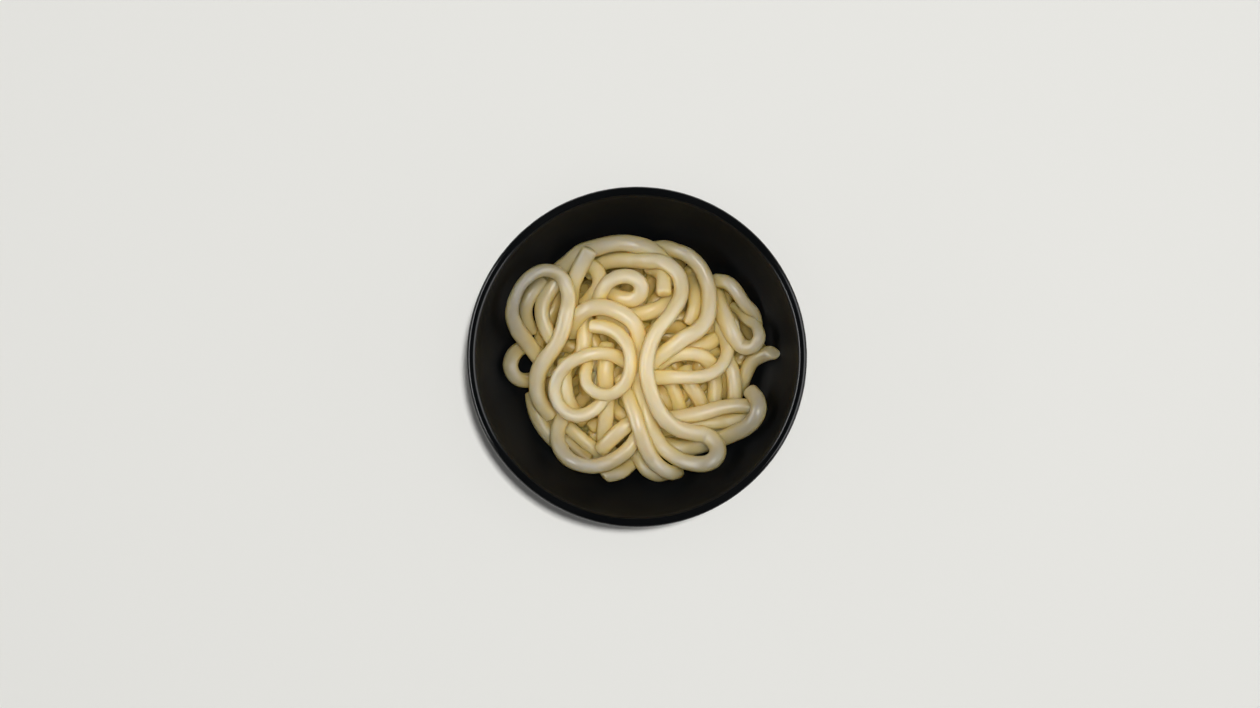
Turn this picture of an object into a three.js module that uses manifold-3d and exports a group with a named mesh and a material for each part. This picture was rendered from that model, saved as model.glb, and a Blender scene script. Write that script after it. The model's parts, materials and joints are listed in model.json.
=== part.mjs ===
// Udon noodles heaped in a round black bowl. Two solids, in millimetres with +Z up; the bowl's
// axis is x = y = 0 and the flat face of its foot ring is z = 0.
//   bowl     one turned pot: foot ring, full belly, wall thinning to a half-round rim
//   noodles  the heap: a core shaped to the inside of the bowl, with the strands that show fused on
import * as THREE from "three";
import { mergeVertices } from "three/addons/utils/BufferGeometryUtils.js";
import Module from "manifold-3d";

const wasm = await Module();
wasm.setup();
const { Manifold, Mesh } = wasm;

// Bowl
const BOWL_R = 70; // outside radius at the rim
const BOWL_H = 62; // foot to rim
const RIM_T = 4; // wall at the rim, which is half-round
const FLOOR_Z = 10; // inside floor on the axis
const UNDER_Z = 3.4; // underside inside the foot ring
const BELLY_Z = 4.5; // where the outside curve would reach the axis
const FOOT_R = 33; // outside of the foot ring at the bearing face
const FOOT_T = 3.6; // width of the foot ring
const FOOT_TOP = 9.2; // height at which the foot ring has run out into the belly
const INSIDE_FULLNESS = 2.4; // 2 is an ellipse; more is a fuller belly
const OUTSIDE_FULLNESS = 2.6;
const TURNS = 48; // facets around the bowl

// Noodles
const STRAND_W = 6.4; // across the flats of one strand
const SOFTEN = 0.58; // where each side's flat ends, as a share of half the width
const LAYER = 5.2; // rise of one strand lying on another
const CREST_Z = 30.5; // centre of a strand lying on the core, over the axis
const CREST_DROP = 5; // how much lower that is at CREST_R
const CREST_R = 45;
const WALL_GAP = 0.35; // between the heap and the glaze
const CORE_SINK = 0.5; // top of the core below the middle of the strands that lie on it
const CORE_TURNS = 26; // facets around the core
const STEP = 5; // length of one facet along a strand
const EVEN = 0.1; // edges that stray less than this from a flat are dropped from the heap

const INSIDE_R = BOWL_R - RIM_T;
const RIM_EDGE = RIM_T / 2; // radius of the rim's section
const HALF_W = STRAND_W / 2;

// Height of the bowl's inside face, and how steep it is, at radius r.
function insideZ(r) {
  const t = Math.min(1, Math.abs(r) / INSIDE_R) ** INSIDE_FULLNESS;
  return FLOOR_Z + (BOWL_H - FLOOR_Z) * (1 - Math.sqrt(1 - t));
}
function insideSlope(r) {
  return (insideZ(r + 0.05) - insideZ(r - 0.05)) / 0.1;
}

// Outside radius of the bowl at height z.
function outsideR(z) {
  const t = (BOWL_H - z) / (BOWL_H - BELLY_Z);
  return BOWL_R * (1 - t * t) ** (1 / OUTSIDE_FULLNESS);
}

// Centre height of a strand with nothing but the core, or the wall further out, beneath it.
function bedZ(r) {
  const onWall = insideZ(r) + (HALF_W + WALL_GAP) * Math.hypot(1, insideSlope(r));
  const onCore = CREST_Z - CREST_DROP * (r / CREST_R) ** 2;
  return Math.max(onWall, onCore);
}

// A profile of [radius, height] turned about +Z.
function turned(profile, segments) {
  const points = profile.map(([r, z]) => new THREE.Vector2(r, z));
  return new THREE.LatheGeometry(points, segments).rotateX(Math.PI / 2);
}

function toSolid(geometry) {
  const bare = new THREE.BufferGeometry().setAttribute("position", geometry.getAttribute("position"));
  bare.setIndex(geometry.index);
  const merged = mergeVertices(bare.index ? bare.toNonIndexed() : bare, 1e-4);
  const solid = new Manifold(
    new Mesh({
      numProp: 3,
      vertProperties: merged.attributes.position.array,
      triVerts: new Uint32Array(merged.index.array),
    }),
  );
  return solid;
}

function toMesh(name, solid, material) {
  const { vertProperties, triVerts } = solid.getMesh();
  const geometry = new THREE.BufferGeometry();
  geometry.setAttribute("position", new THREE.BufferAttribute(vertProperties, 3));
  geometry.setIndex(new THREE.BufferAttribute(triVerts, 1));
  const mesh = new THREE.Mesh(geometry.toNonIndexed(), material);
  mesh.geometry.computeVertexNormals();
  mesh.name = name;
  return mesh;
}

// The bowl's profile runs out under the foot, up the outside, over the rim and down the inside.
function bowlProfile() {
  const profile = [
    [0, UNDER_Z],
    [FOOT_R - FOOT_T - 1.6, UNDER_Z - 0.2],
    [FOOT_R - FOOT_T - 0.3, UNDER_Z - 1.2],
    [FOOT_R - FOOT_T, 0],
    [FOOT_R - 0.4, 0],
    [FOOT_R + 0.2, 0.8],
    [FOOT_R + 0.9, 5.4],
    [FOOT_R + 2.2, FOOT_TOP - 1],
  ];
  const facets = 9;
  const rise = BOWL_H - RIM_EDGE - FOOT_TOP;
  for (let i = 1; i <= facets; i++) {
    const z = FOOT_TOP + rise * (i / facets) ** 1.35;
    profile.push([outsideR(z), z]);
  }
  for (const a of [45, 90, 135].map(THREE.MathUtils.degToRad)) {
    profile.push([BOWL_R - RIM_EDGE + RIM_EDGE * Math.cos(a), BOWL_H - RIM_EDGE + RIM_EDGE * Math.sin(a)]);
  }
  for (const r of insideStations().reverse()) {
    if (insideZ(r) < BOWL_H - RIM_EDGE - 0.2) profile.push([r, insideZ(r)]);
  }
  return profile;
}

// Radii at which the inside face turns from one facet to the next, closer together up the wall.
function insideStations() {
  const count = 12;
  const share = (i) => Math.sin((Math.PI / 2) * (i / count)) ** 0.86;
  return Array.from({ length: count + 1 }, (_, i) => INSIDE_R * share(i));
}

// The inside face moved in by WALL_GAP, from the axis out to where it rises above top(r).
function linerProfile(top) {
  const profile = [];
  for (const r of insideStations()) {
    const slope = insideSlope(r);
    const n = Math.hypot(1, slope);
    const at = [Math.max(0, r - (WALL_GAP * slope) / n), insideZ(r) + WALL_GAP / n];
    if (at[1] > top(at[0])) break;
    profile.push(at);
  }
  return profile;
}

// The room for the heap, short of the glaze by WALL_GAP and open to the rim.
function liner() {
  const profile = linerProfile(() => BOWL_H - 2);
  profile.push([INSIDE_R - WALL_GAP, BOWL_H], [0, BOWL_H]);
  return toSolid(turned(profile, TURNS));
}

// The core: what lies packed under the strands that show.
function core() {
  const top = (r) => CREST_Z - CREST_DROP * (r / CREST_R) ** 2 - CORE_SINK;
  const profile = linerProfile(top);
  const edge = profile.at(-1)[0];
  for (let k = 5; k >= 0; k--) profile.push([(edge * k) / 5.4, top((edge * k) / 5.4)]);
  return toSolid(turned(profile, CORE_TURNS));
}

// Each route runs along the middle of one strand, as [x, y, layer]: x to the right and y away,
// and layer counts the strands lying beneath, so 0 rests on the core or the wall.
const ROUTES = {
  // left side: a tall loop closed over itself, with two strands inside it and an ear under it
  tallLoop: [[-36.5, -6.5, 0.4], [-41.5, -0.5, 1], [-46.2, 6, 1.6], [-50.3, 12, 2], [-52, 19.5, 2.2],
    [-47.5, 30.5, 2.3], [-40, 36, 2.4], [-32.5, 34.5, 2.6], [-28.8, 27, 2.8], [-29, 19, 3],
    [-33, 6.5, 2.8], [-40.8, -5, 2.3], [-42.2, -12, 2], [-40.8, -19, 1.7], [-36.5, -24.5, 1.1]],
  loopFloor: [[-39.5, 32, 0.4], [-44, 27.5, 0.6], [-46.8, 22, 0.6], [-47, 16.5, 0.4], [-45, 11, 0.2]],
  loopInner: [[-34, 32.5, 1.2], [-37.2, 27.5, 1.5], [-39.8, 21.8, 1.8], [-39.6, 15.5, 1.9],
    [-37.2, 9.8, 1.8], [-34.2, 4.5, 1.3]],
  ear: [[-47.5, 4.5, 0], [-50.5, 2.8, 0], [-52.8, -0.5, 0.2], [-53.3, -4.3, 0.4], [-51.6, -8.2, 0.4],
    [-48.3, -10, 0.3], [-44.5, -9.8, 0.2]],
  lowerLeft: [[-44.5, -16, -0.2], [-44, -20, 0], [-41.5, -27, 0.1], [-37.5, -33, 0.2], [-31, -39.5, 0.1]],

  // front left: a wide pocket with strands crossing beneath it
  pocket: [[-30, -24, 1.2], [-33, -30, 1.9], [-33, -36.5, 2], [-28.5, -43, 2], [-19.5, -46, 2],
    [-10.5, -44, 2], [-3, -38.5, 1.8], [1, -32.5, 1.5]],
  pocketFloor: [[-34, -25.5, 0.1], [-27, -32, 0.5], [-20, -38, 0.5], [-13.5, -43.5, 0.1], [-9, -48, -0.4]],
  drop: [[-12.5, 5, 1.3], [-13, -2, 1.6], [-13.2, -8, 1.6], [-12.8, -14, 1.3], [-12.6, -20, 1.1],
    [-13.2, -27, 1], [-13.8, -33, 0.5], [-12.8, -38, -0.2], [-11.5, -41, -0.6]],
  fan: [[-15, -39.5, 1.2], [-12, -36, 1.4], [-5.5, -30, 1.5], [1, -25.5, 1]],
  toe: [[-13.2, -50.8, 0.2], [-9, -49.6, 0.3], [-3.5, -46.6, 0.2], [1, -43, -0.1]],
  heel: [[-2, -37, 0.4], [1, -43, 0.9], [4.5, -48, 0.9], [9, -50, 0.5], [13, -49.3, 0]],
  runner: [[-6.5, -9, 1.4], [-3.2, -16, 2.1], [0.5, -28, 2.9], [3.3, -36.5, 2.9], [6.5, -42.8, 2.7],
    [10.3, -46.8, 2.2], [14.3, -48.8, 1.4], [17.5, -48.5, 0.4]],

  // middle: the long S on top, which comes back up beside itself and ends as the brow over the
  // rings on its left, and a curl behind it
  longS: [[-21, 35.5, 0.1], [-15, 39.8, 0.5], [-8, 41.3, 0.9], [-1, 41, 1.4], [5, 41, 2.1],
    [12.5, 39, 2.8], [17.6, 34, 3.1], [18.5, 26, 3.4], [15, 19, 3.8], [8, 10, 4.2], [4.6, 1, 4.2],
    [4.2, -7, 4.2], [6.8, -17, 4], [10.8, -24.8, 3.8], [17, -29.8, 3.4], [23.5, -31.8, 3], [29, -33, 2.7],
    [32.8, -36, 2.4], [34, -39.6, 2.2], [32.2, -43, 2.2], [28, -44.8, 2.3], [19, -43.5, 2.5],
    [11, -38, 2.4], [6, -30, 2.4], [3, -21, 2.2], [1.2, -12, 2.2], [0.8, -3, 2.4], [1, 4, 2.8],
    [0.5, 10, 3.2], [-2, 15, 3.4], [-7.5, 18.8, 3.5], [-14, 20.8, 3.4], [-20.5, 20, 3.1],
    [-26, 15.5, 2.2], [-27.5, 10, 0.8]],
  curl: [[-17, 20.5, 2.1], [-15, 26.5, 3], [-12, 31, 3.6], [-7, 33.5, 3.8], [-2, 33.2, 3.8],
    [1.5, 30.5, 3.7], [1.5, 26.5, 3.3], [-2, 24, 2.9], [-7, 24.8, 2.4], [-11, 27, 1.8]],
  tongue: [[6, 38.5, 0.9], [9.5, 36.8, 1.6], [11.2, 33.2, 2.4], [11.3, 27, 2.9]],
  band: [[-16, 16.3, 1.5], [-8.5, 14.6, 1.6], [-3.2, 9.8, 1.7], [-1.2, 4, 1.3]],
  sill: [[-5, 18.3, 1.6], [0, 18, 1.8], [7, 19.5, 1.9], [14, 23, 1.6], [18.5, 27.5, 1.3]],
  post: [[-21.5, 16, 1.4], [-22, 10, 1.6], [-22.5, 4, 1.6], [-25, -2, 1.2]],
  ring: [[-18.5, 13, 2.4], [-12, 12, 2.9], [-7, 9, 3.4], [-3.5, 4, 3.8], [-2.5, -3, 3.9],
    [-4.5, -10.5, 3.7], [-10, -15.3, 3.5], [-16, -15.3, 3.4], [-20.5, -12, 3.2], [-21.5, -7.5, 2.8],
    [-20.5, -2.5, 2.2]],
  wreath: [[-5, -2, 2.2], [-10.5, 1, 2.8], [-16.5, 1.5, 3.2], [-23, 0, 3.4], [-29.2, -3.5, 3.4],
    [-33.3, -9, 3.1], [-34.4, -15, 3], [-31.8, -21.2, 3], [-26.5, -24.6, 3], [-20, -23.4, 2.7],
    [-15.5, -20, 2.4], [-12.5, -15.5, 2.2]],
  wreathBar: [[-30.2, -2, 1.7], [-30.4, -9, 2.2], [-29.7, -15, 2.3], [-28, -20.5, 1.9], [-24.5, -25.5, 1.2]],

  // far side: the crown, and under its end the shoulder that comes forward on the right
  crown: [[-37, 31.5, 0.2], [-32, 37.5, 0.4], [-25.5, 42.5, 0.7], [-17, 46.2, 1], [-8.5, 48, 1.3],
    [-1, 47.6, 1.6], [5, 45.2, 1.7], [10.3, 41.5, 1.5], [13.8, 36.5, 1.1], [14.8, 31, 0.8]],
  shoulder: [[-4, 43.5, 0.1], [2, 45.4, 0.2], [8, 46, 0.4], [15, 45.4, 1.1], [21, 43.2, 1.7],
    [26.5, 38, 2.1], [30, 30, 2.4], [30.5, 22, 2.6], [29.5, 16, 2.8], [25.5, 11, 3], [20, 8, 3.1],
    [14, 3.5, 3], [9.5, 0, 2.8], [6.3, -3, 2.5]],
  stub: [[-20, 44.5, 2.3], [-23, 39, 2.5], [-25.5, 34, 2.3], [-27.5, 28, 1.7], [-28, 22, 1.4]],
  nape: [[-21, 40, 1.4], [-17, 36.5, 1.5], [-15.5, 31.5, 1.6], [-18, 26.5, 1.4], [-22, 22, 1]],

  // right side: a hairpin that starts under a low wing, and a beak against the wall
  bib: [[23.5, 38, -0.5], [24.7, 32, 0], [25, 26, 1.2], [24.5, 20, 1.5], [22.5, 14.5, 1.3]],
  wing: [[33.6, 32.4, 0.9], [39, 31, 1.1], [44, 25, 1], [47.8, 18.8, 0.5], [50.4, 13.5, 0]],
  lobe: [[33.5, 29, 0.2], [34.8, 23.1, 1.2], [37.3, 16.4, 1.9], [40.6, 9.5, 2.3], [44.3, 4.6, 2.4],
    [48.7, 4.2, 2.3], [51.4, 8, 2], [50.3, 12.6, 1.5], [47.6, 15.8, 0.9], [44.2, 19, 0.3],
    [41.5, 21.8, 0]],
  beak: [[58.2, 2.8, 0], [54, 1.2, 0.5], [49, -2, 0.7], [46.5, -7, 0.6], [44.5, -12, 0.4], [42, -17, 0.2]],

  // front right: a hook, and a stack of strands over a web of lower ones
  hook: [[35, 19, 0.5], [35.5, 13, 0.9], [37.6, 7, 1.3], [38.2, 1.5, 2.1], [35.5, -4, 2.7], [30, -7.5, 3],
    [24, -8.5, 3], [15, -8.5, 2.9], [7, -8.6, 2.3]],
  arch: [[5.5, -7.5, 1], [9.5, -3, 1.5], [15.5, 0.5, 1.9], [22, 1.5, 2.1], [28, 0, 1.9], [32.5, -4, 1.5]],
  tie: [[36, 9.5, 0], [32.5, 7, 0.7], [27.5, 4.5, 1.1], [22.5, 3.5, 1], [17, 2.5, 0.8]],
  rib: [[38, 0, 1], [40.6, -6, 1.4], [41.6, -12, 1.5], [41.6, -19, 1.2]],
  shelf: [[7, -27, 1.5], [14, -26, 2], [21, -25, 2.2], [28, -23.5, 2.4], [35, -21.5, 2.5],
    [41.5, -20.5, 2.3], [46.5, -21, 1.5], [49.5, -22.5, 0.7]],
  shelfLow: [[48, -26, 0.4], [43.5, -27, 1], [38, -27.3, 1.4], [31, -27.8, 1.5], [24, -28.4, 1.5],
    [17, -29, 1.3], [11, -30.5, 0.9]],
  cheek: [[48, -14.6, 1.9], [50.4, -18, 2], [50.8, -22.3, 2], [48.8, -26.6, 1.8], [45.2, -30, 1.5],
    [40.2, -32.7, 1.1], [34.2, -35.3, 0.9], [28, -37.4, 0.9], [21, -38.8, 0.9], [14, -38, 0.7],
    [7, -35.5, 0.3]],
  lining: [[22, -31.5, 0.4], [29, -32, 0.4], [36, -31.5, 0.2], [42, -29.5, -0.2]],
  webA: [[12, -5, 0.2], [14, -11, 0.5], [17, -17.5, 0.6], [19, -25, 0.3]],
  webB: [[20.5, -5, 0.5], [22.5, -11.5, 0.9], [26, -17, 0.9], [28.5, -23.5, 0.5]],
  webC: [[33, -6, -0.2], [33.6, -12.5, 0], [33, -19, 0], [32, -25, -0.2]],
};

// Strands that are thicker or thinner than the rest, as a share of STRAND_W.
const SWELL = {
  tallLoop: 0.98, lobe: 1.08, longS: 1.08, crown: 1.1, cheek: 1.06, shelf: 1.04, wreath: 0.86,
  wing: 0.92, hook: 0.92, ring: 0.85, toe: 0.86,
};

// One strand: a soft-cornered square drawn along its route.
function strand([name, route]) {
  const half = HALF_W * (SWELL[name] ?? 1);
  const curve = new THREE.CatmullRomCurve3(
    route.map(([x, y, layer]) => new THREE.Vector3(x, y, bedZ(Math.hypot(x, y)) + layer * LAYER)),
  );
  const near = half * SOFTEN;
  const corners = [[1, 1], [-1, 1], [-1, -1], [1, -1]].flatMap(([sx, sy]) =>
    sx * sy > 0
      ? [[sx * half, sy * near], [sx * near, sy * half]]
      : [[sx * near, sy * half], [sx * half, sy * near]],
  );
  const section = new THREE.Shape(corners.map(([x, y]) => new THREE.Vector2(x, y)));
  const steps = Math.max(3, Math.round(curve.getLength() / STEP));
  return toSolid(new THREE.ExtrudeGeometry(section, { steps, bevelEnabled: false, extrudePath: curve }));
}

// Everything is joined, kept clear of the wall, and freed of loose scraps.
function heap() {
  const joined = Manifold.union([core(), ...Object.entries(ROUTES).map(strand)]);
  const trimmed = joined.intersect(liner()).simplify(EVEN);
  return trimmed.decompose().sort((a, b) => b.volume() - a.volume())[0];
}

const glaze = new THREE.MeshStandardMaterial({ color: 0x121211, roughness: 0.18, metalness: 0 });
const dough = new THREE.MeshStandardMaterial({ color: 0xdccba2, roughness: 0.45, metalness: 0 });

const group = new THREE.Group();
group.name = "udon_bowl";
group.add(toMesh("bowl", toSolid(turned(bowlProfile(), TURNS)), glaze));
group.add(toMesh("noodles", heap(), dough));

export default group;
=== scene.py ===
# A black glazed noodle bowl with a helping of udon in it: first the turned and glazed bowl, then the
# strands that lie on top, then the ones beneath, which are fitted in under those on top. Metres,
# +Z up, the bowl's axis on x = y = 0 and its foot on z = 0. At the end come the table, the lights
# and the camera overhead.
import json
import math

import bpy
import numpy as np
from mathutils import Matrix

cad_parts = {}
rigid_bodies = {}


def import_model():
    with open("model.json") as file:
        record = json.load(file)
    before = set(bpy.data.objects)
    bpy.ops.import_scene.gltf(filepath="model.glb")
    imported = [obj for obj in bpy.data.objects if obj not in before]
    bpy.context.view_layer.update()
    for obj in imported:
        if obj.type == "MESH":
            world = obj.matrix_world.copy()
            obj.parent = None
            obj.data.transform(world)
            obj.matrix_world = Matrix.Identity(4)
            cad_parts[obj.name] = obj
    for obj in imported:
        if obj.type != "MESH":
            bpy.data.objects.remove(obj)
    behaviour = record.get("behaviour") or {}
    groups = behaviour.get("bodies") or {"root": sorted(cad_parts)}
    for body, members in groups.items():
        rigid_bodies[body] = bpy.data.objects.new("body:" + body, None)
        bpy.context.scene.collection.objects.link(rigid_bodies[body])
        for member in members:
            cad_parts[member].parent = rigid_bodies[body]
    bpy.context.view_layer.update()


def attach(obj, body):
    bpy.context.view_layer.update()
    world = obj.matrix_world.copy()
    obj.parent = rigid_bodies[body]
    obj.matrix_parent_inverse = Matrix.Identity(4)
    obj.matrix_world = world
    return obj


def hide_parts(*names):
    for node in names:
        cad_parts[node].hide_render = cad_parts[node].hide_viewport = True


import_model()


# ---------------------------------------------------------------------------------------------
# The bowl: stoneware thrown on a wheel, trimmed to a foot ring and dipped in a black glaze that
# is wiped off the foot. It is one profile turned about the axis, out under the foot, up the
# outside, over the rim and down the inside.
# ---------------------------------------------------------------------------------------------
RIM_RADIUS = 0.070
BOWL_HEIGHT = 0.062
RIM_THICKNESS = 0.004
RIM_EDGE = RIM_THICKNESS / 2  # radius of the half-round rim
RIM_START = BOWL_HEIGHT - RIM_EDGE
INSIDE_RADIUS = RIM_RADIUS - RIM_THICKNESS
INSIDE_FULLNESS = 2.4
FLOOR_HEIGHT = 0.010
OUTSIDE_FULLNESS = 2.6
BELLY_BOTTOM = 0.0045  # height where the belly's curve would come in to the axis
BELLY_START = 0.0092  # height where the belly leaves the foot
UNDERSIDE_HEIGHT = 0.0034
FOOT_RADIUS = 0.033
FOOT_WIDTH = 0.0036
FOOT_INSIDE = FOOT_RADIUS - FOOT_WIDTH

# The foot's corners, from the middle of the underside out and up to the belly, and how far each
# of the four between the ends is rounded off.
FOOT_CORNERS = [
    (0.0, UNDERSIDE_HEIGHT),
    (FOOT_INSIDE - 0.0012, UNDERSIDE_HEIGHT - 0.0002),
    (FOOT_INSIDE, 0.0),
    (FOOT_RADIUS - 0.0001, 0.0),
    (FOOT_RADIUS + 0.0008, 0.0054),
    (FOOT_RADIUS + 0.0026, 0.0086),
]
FOOT_ROUNDINGS = (0.0012, 0.0005, 0.0008, 0.0016)

BOWL_TURNS = 200
UNDERSIDE_RINGS = 4
OUTSIDE_RINGS = 40
RIM_RINGS = 20
INSIDE_RINGS = 48
FOOT_CROWDING = 1.2  # above 1 brings the rings of the outside closer towards the foot
AXIS_THINNING = 0.86  # below 1 spreads the rings of the inside further from the axis
RIM_CLEARANCE = 0.0002  # the rings of the inside stop this far below the rim's curve

GLAZE_POOLED = (0.0022, 0.0026, 0.0030)
GLAZE_THIN = (0.0040, 0.0044, 0.0048)
BARE_CLAY = (0.060, 0.045, 0.034)
GLAZE_LINE = (0.0007, 0.0011)  # heights where the glaze begins and where it is whole
GLAZE_LINE_WAVER = 0.0007
CLAY_ROUGHNESS = 0.75
FIRING_UNEVENNESS = 0.10
RELIEF_DEPTH = 0.0004

# The glaze's roughness down the inside, and over the rim and outside. The one turns into the other
# between two radii at the lip, and between two measures of how far a face looks outwards.
SATIN_TO_GLOSSY = (0.50, 0.10)
LIP = (INSIDE_RADIUS + 0.0002, INSIDE_RADIUS + 0.0010)
FACING_OUT = (0, 0.004)


def inside_height(r):
    """Height of the glazed inside face at radius r."""
    share = np.minimum(1.0, np.abs(r) / INSIDE_RADIUS) ** INSIDE_FULLNESS
    return FLOOR_HEIGHT + (BOWL_HEIGHT - FLOOR_HEIGHT) * (1 - np.sqrt(1 - share))


def inside_slope(r):
    """Rise of the inside face at radius r, for each metre outwards."""
    return (inside_height(r + 5e-5) - inside_height(r - 5e-5)) / 1e-4


def inside_ring(share):
    """Radius of the ring that is this share of the way from the axis to the rim."""
    return INSIDE_RADIUS * math.sin(math.pi / 2 * share) ** AXIS_THINNING


def outside_radius(z):
    """Radius of the belly at height z."""
    share = (BOWL_HEIGHT - z) / (BOWL_HEIGHT - BELLY_BOTTOM)
    return RIM_RADIUS * (1 - share * share) ** (1 / OUTSIDE_FULLNESS)


def rounded_corner(before, corner, after, size, steps=5):
    """A corner of the profile eased off over a short curve."""
    before, corner, after = (np.array(p) for p in (before, corner, after))
    start = corner + (before - corner) * min(0.45, size / np.linalg.norm(before - corner))
    end = corner + (after - corner) * min(0.45, size / np.linalg.norm(after - corner))
    t = np.linspace(0, 1, steps)[:, None]
    return list((1 - t) ** 2 * start + 2 * t * (1 - t) * corner + t * t * end)


def bowl_profile():
    """The bowl's outline, from the middle of the underside round to the middle of the inside."""
    profile = [np.array(FOOT_CORNERS[0])]
    for share in np.linspace(0.2, 0.9, UNDERSIDE_RINGS):
        profile.append(np.array((FOOT_CORNERS[1][0] * share, UNDERSIDE_HEIGHT)))
    for i, size in enumerate(FOOT_ROUNDINGS, start=1):
        profile += rounded_corner(FOOT_CORNERS[i - 1], FOOT_CORNERS[i], FOOT_CORNERS[i + 1], size)
    for share in np.linspace(0, 1, OUTSIDE_RINGS)[1:] ** FOOT_CROWDING:
        z = BELLY_START + (RIM_START - BELLY_START) * share
        profile.append(np.array((outside_radius(z), z)))
    for angle in np.radians(np.linspace(9, 180, RIM_RINGS)):
        over = RIM_EDGE * np.array((math.cos(angle), math.sin(angle)))
        profile.append(over + (RIM_RADIUS - RIM_EDGE, RIM_START))
    for share in np.linspace(1, 0, INSIDE_RINGS):
        r = inside_ring(share)
        z = float(inside_height(r))
        if z < RIM_START - RIM_CLEARANCE:
            profile.append(np.array((r, z)))
    return profile


def smooth_piece(name, verts, faces, material):
    """A smoothly shaded piece of one material, put in the scene."""
    mesh = bpy.data.meshes.new(name)
    mesh.from_pydata(verts, [], faces)
    mesh.validate()
    mesh.shade_smooth()
    mesh.materials.append(material)
    piece = bpy.data.objects.new(name, mesh)
    bpy.context.scene.collection.objects.link(piece)
    return piece


def turned_piece(name, profile, turns, material):
    """A profile that starts and ends on the axis, turned into a closed piece."""
    ring = np.linspace(0, 2 * math.pi, turns, endpoint=False)
    verts, faces = [(0.0, 0.0, profile[0][1])], []
    for r, z in profile[1:-1]:
        verts += [(r * math.cos(a), r * math.sin(a), z) for a in ring]
    verts.append((0.0, 0.0, profile[-1][1]))
    rows = len(profile) - 2
    for k in range(turns):
        n = (k + 1) % turns
        faces.append((0, 1 + n, 1 + k))
        for row in range(rows - 1):
            a, b = 1 + row * turns, 1 + (row + 1) * turns
            faces.append((a + k, a + n, b + n, b + k))
        last = 1 + (rows - 1) * turns
        faces.append((last + k, last + n, len(verts) - 1))
    return smooth_piece(name, verts, faces, material)


def new_material(name):
    """A new material, its node tree, its shader, and where a point lies on the piece."""
    material = bpy.data.materials.new(name)
    material.use_nodes = True
    tree = material.node_tree
    place = tree.nodes.new("ShaderNodeTexCoord").outputs["Object"]
    return material, tree, tree.nodes["Principled BSDF"], place


def noise(tree, place, scale, detail=2.0, roughness=0.5):
    """Noise that is fixed to the piece."""
    texture = tree.nodes.new("ShaderNodeTexNoise")
    texture.inputs["Scale"].default_value = scale
    texture.inputs["Detail"].default_value = detail
    texture.inputs["Roughness"].default_value = roughness
    tree.links.new(place, texture.inputs["Vector"])
    return texture.outputs["Fac"]


def colour_ramp(tree, value, *stops):
    """The colour at a value on a ramp, whose stops are each a position and a colour."""
    ramp = tree.nodes.new("ShaderNodeValToRGB")
    elements = ramp.color_ramp.elements
    for element, (position, colour) in zip(elements, (stops[0], stops[-1])):
        element.position = position
        element.color = (*colour, 1)
    for position, colour in stops[1:-1]:
        elements.new(position).color = (*colour, 1)
    tree.links.new(value, ramp.inputs["Fac"])
    return ramp.outputs["Color"]


def mapped(tree, value, before, after):
    """A node that carries a value over from one range to another, and holds it there."""
    node = tree.nodes.new("ShaderNodeMapRange")
    for socket, end in zip(("From Min", "From Max", "To Min", "To Max"), (*before, *after)):
        node.inputs[socket].default_value = end
    tree.links.new(value, node.inputs["Value"])
    return node


def multiply_add(tree, value, factor, added):
    """A value times a number, with another value added."""
    node = tree.nodes.new("ShaderNodeMath")
    node.operation = "MULTIPLY_ADD"
    node.inputs[1].default_value = factor
    tree.links.new(value, node.inputs[0])
    tree.links.new(added, node.inputs[2])
    return node.outputs[0]


def out_from_axis(tree, place):
    """The level vector from the bowl's axis out to a point, and its length."""
    level = tree.nodes.new("ShaderNodeVectorMath")
    level.operation = "MULTIPLY"
    level.inputs[1].default_value = (1, 1, 0)
    tree.links.new(place, level.inputs[0])
    length = tree.nodes.new("ShaderNodeVectorMath")
    length.operation = "LENGTH"
    tree.links.new(level.outputs["Vector"], length.inputs[0])
    return level.outputs["Vector"], length.outputs["Value"]


def add_relief(tree, shader, height, strength):
    """Fine relief over the whole surface."""
    bump = tree.nodes.new("ShaderNodeBump")
    bump.inputs["Strength"].default_value = strength
    bump.inputs["Distance"].default_value = RELIEF_DEPTH
    tree.links.new(height, bump.inputs["Height"])
    tree.links.new(bump.outputs["Normal"], shader.inputs["Normal"])


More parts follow.
